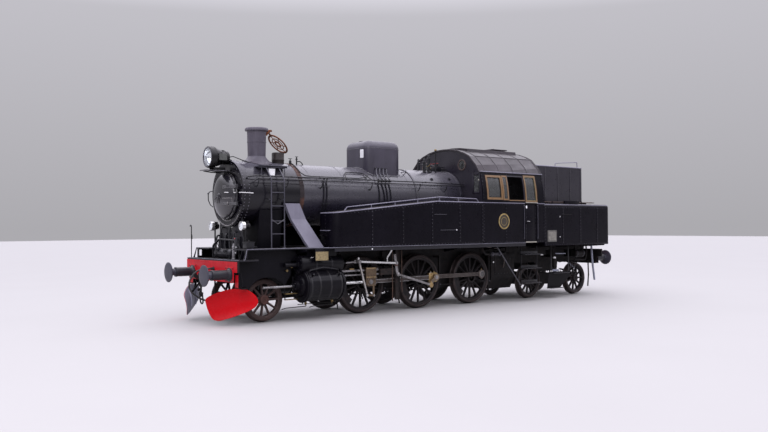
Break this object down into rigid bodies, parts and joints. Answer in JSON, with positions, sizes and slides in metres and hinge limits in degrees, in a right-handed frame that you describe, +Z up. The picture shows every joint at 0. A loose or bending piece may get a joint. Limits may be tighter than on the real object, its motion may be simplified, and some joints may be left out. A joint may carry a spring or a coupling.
{
  "type": "tank steam locomotive",
  "caption": "Side-tank steam locomotive with outside cylinders, coupled driving wheels, leading truck, trailing bogie, hollow cab, coal bunker and rail ploughs.",
  "frame": {"origin": "centre line, midway between the buffer faces, at the level of the wheel flanges' lowest points", "axes": "+X forward towards the chimney, +Y to the locomotive's left, +Z up"},
  "size_m": [13.4, 3, 4.272],
  "materials": {
    "black_paint": "satin",
    "buffer_paint": "satin",
    "cast_iron": "rough",
    "floor_wood": "worn",
    "grey_paint": "satin",
    "hose_rubber": "matte",
    "lamp_metal": "gloss",
    "red_paint": "gloss",
    "rod_steel": "oiled",
    "rusty_iron": "rough",
    "smokebox_black": "matte",
    "tyre_steel": "worn",
    "wheel_paint": "satin"
  },
  "bodies": {
    "chassis": {"ash_pan": "cast_iron", "backhead": "smokebox_black", "boiler": "black_paint", "brake_gear": "cast_iron", "brake_hose_front": "hose_rubber", "buffer_beams": "red_paint", "buffers": "buffer_paint", "cab_ends": "black_paint", "cab_floor": "floor_wood", "cab_roof": "black_paint", "cab_sides": "black_paint", "chimney": "smokebox_black", "coal_bunker": "black_paint", "cylinders": "cast_iron", "dome_casing": "black_paint", "draw_gear": "cast_iron", "firebox": "black_paint", "frame_plates": "cast_iron", "frame_stretchers": "cast_iron", "front_lamps": "lamp_metal", "front_valances": "black_paint", "motion_brackets": "cast_iron", "rail_ploughs": "red_paint", "rear_tank": "black_paint", "running_boards": "black_paint", "side_tanks": "black_paint", "slide_bars": "rod_steel", "smokebox": "smokebox_black", "steam_pipe_casings": "grey_paint", "steps_and_ladders": "black_paint", "valve_gear": "rod_steel"},
    "leading_truck": {"pony_truck": "cast_iron"},
    "leading_wheelset": {"leading_tyres": "tyre_steel", "leading_wheels": "rusty_iron"},
    "driver_1": {"driver_1_tyres": "tyre_steel", "driver_1_wheels": "wheel_paint"},
    "driver_2": {"driver_2_tyres": "tyre_steel", "driver_2_wheels": "wheel_paint", "return_cranks": "rod_steel"},
    "driver_3": {"driver_3_tyres": "tyre_steel", "driver_3_wheels": "wheel_paint"},
    "bogie": {"bogie_frame": "cast_iron"},
    "trailing_wheelset_1": {"trailing_1_tyres": "tyre_steel", "trailing_1_wheels": "wheel_paint"},
    "trailing_wheelset_2": {"trailing_2_tyres": "tyre_steel", "trailing_2_wheels": "wheel_paint"},
    "coupling_rod_left": {"coupling_rod_left": "rod_steel"},
    "coupling_rod_right": {"coupling_rod_right": "rod_steel"},
    "crosshead_left": {"crosshead_left": "rod_steel"},
    "crosshead_right": {"crosshead_right": "rod_steel"},
    "main_rod_left": {"main_rod_left": "rod_steel"},
    "main_rod_right": {"main_rod_right": "rod_steel"},
    "combination_lever_left": {"combination_lever_left": "rod_steel"},
    "combination_lever_right": {"combination_lever_right": "rod_steel"},
    "smokebox_door": {"smokebox_door": "smokebox_black"},
    "chimney_lid": {"chimney_lid": "rusty_iron"},
    "cab_door_left": {"cab_door_left": "black_paint"},
    "cab_door_right": {"cab_door_right": "black_paint"},
    "filler_lid_left": {"filler_lid_left": "black_paint"},
    "filler_lid_right": {"filler_lid_right": "black_paint"}
  },
  "joints": [
    {"name": "driver_2_spin", "type": "hinge", "parent": "chassis", "child": "driver_2", "pos_m": [0.85, 0, 0.678], "axis": [0, 1, 0], "continuous": true},
    {"name": "driver_1_spin", "type": "hinge", "parent": "chassis", "child": "driver_1", "pos_m": [2.65, 0, 0.678], "axis": [0, 1, 0], "continuous": true},
    {"name": "driver_3_spin", "type": "hinge", "parent": "chassis", "child": "driver_3", "pos_m": [-0.95, 0, 0.678], "axis": [0, 1, 0], "continuous": true},
    {"name": "coupling_rod_left_turn", "type": "hinge", "parent": "driver_2", "child": "coupling_rod_left", "pos_m": [0.55993, 0.905, 0.77225], "axis": [0, 1, 0], "continuous": true},
    {"name": "coupling_rod_right_turn", "type": "hinge", "parent": "driver_2", "child": "coupling_rod_right", "pos_m": [0.94425, -0.905, 0.96807], "axis": [0, 1, 0], "continuous": true},
    {"name": "leading_truck_swing", "type": "hinge", "parent": "chassis", "child": "leading_truck", "pos_m": [3.68, 0, 0.6], "axis": [0, 0, 1], "range_deg": [-3.5, 3.5]},
    {"name": "leading_wheel_spin", "type": "hinge", "parent": "leading_truck", "child": "leading_wheelset", "pos_m": [5.25, 0, 0.478], "axis": [0, 1, 0], "continuous": true},
    {"name": "bogie_swivel", "type": "hinge", "parent": "chassis", "child": "bogie", "pos_m": [-4.275, 0, 0.65], "axis": [0, 0, 1], "range_deg": [-3.5, 3.5]},
    {"name": "trailing_wheel_1_spin", "type": "hinge", "parent": "bogie", "child": "trailing_wheelset_1", "pos_m": [-3.25, 0, 0.478], "axis": [0, 1, 0], "continuous": true},
    {"name": "trailing_wheel_2_spin", "type": "hinge", "parent": "bogie", "child": "trailing_wheelset_2", "pos_m": [-5.3, 0, 0.478], "axis": [0, 1, 0], "continuous": true},
    {"name": "crosshead_left_slide", "type": "slide", "parent": "chassis", "child": "crosshead_left", "axis": [1, 0, 0], "range_m": [-0.01671, 0.59376]},
    {"name": "main_rod_left_swing", "type": "hinge", "parent": "crosshead_left", "child": "main_rod_left", "pos_m": [2.61, 1.05, 0.758], "axis": [0, 1, 0], "range_deg": [-11.22, 5.9]},
    {"name": "combination_lever_left_swing", "type": "hinge", "parent": "chassis", "child": "combination_lever_left", "pos_m": [2.989, 1.175, 1.238], "axis": [0, 1, 0], "range_deg": [-43.15, 1.26]},
    {"name": "crosshead_right_slide", "type": "slide", "parent": "chassis", "child": "crosshead_right", "axis": [1, 0, 0], "range_m": [-0.39029, 0.22018]},
    {"name": "main_rod_right_swing", "type": "hinge", "parent": "crosshead_right", "child": "main_rod_right", "pos_m": [2.98358, -1.05, 0.758], "axis": [0, 1, 0], "range_deg": [-16.71, 0.42]},
    {"name": "combination_lever_right_swing", "type": "hinge", "parent": "chassis", "child": "combination_lever_right", "pos_m": [2.989, -1.175, 1.238], "axis": [0, 1, 0], "range_deg": [-16.03, 28.38]},
    {"name": "smokebox_door_hinge", "type": "hinge", "parent": "chassis", "child": "smokebox_door", "pos_m": [5.76, 0.575, 2.728], "axis": [0, 0, 1], "range_deg": [0, 120]},
    {"name": "chimney_lid_hinge", "type": "hinge", "parent": "chassis", "child": "chimney_lid", "pos_m": [4.623, 0, 4.229], "axis": [0, -1, 0], "range_deg": [-225, 0]},
    {"name": "cab_door_left_hinge", "type": "hinge", "parent": "chassis", "child": "cab_door_left", "pos_m": [-2.776, 1.462, 2.1], "axis": [0, 0, -1], "range_deg": [0, 85]},
    {"name": "cab_door_right_hinge", "type": "hinge", "parent": "chassis", "child": "cab_door_right", "pos_m": [-2.776, -1.462, 2.1], "axis": [0, 0, 1], "range_deg": [0, 85]},
    {"name": "filler_lid_left_hinge", "type": "hinge", "parent": "chassis", "child": "filler_lid_left", "pos_m": [-0.505, 1.1, 2.688], "axis": [0, -1, 0], "range_deg": [0, 100]},
    {"name": "filler_lid_right_hinge", "type": "hinge", "parent": "chassis", "child": "filler_lid_right", "pos_m": [-0.505, -1.1, 2.688], "axis": [0, -1, 0], "range_deg": [0, 100]}
  ],
  "couplings": [
    {"joint": "driver_1_spin", "follows": "driver_2_spin", "ratio": 1},
    {"joint": "driver_3_spin", "follows": "driver_2_spin", "ratio": 1},
    {"joint": "coupling_rod_left_turn", "follows": "driver_2_spin", "ratio": -1},
    {"joint": "coupling_rod_right_turn", "follows": "driver_2_spin", "ratio": -1},
    {"joint": "combination_lever_left_swing", "follows": "crosshead_left_slide", "rad_per_m": -1.267},
    {"joint": "combination_lever_right_swing", "follows": "crosshead_right_slide", "rad_per_m": -1.267}
  ]
}
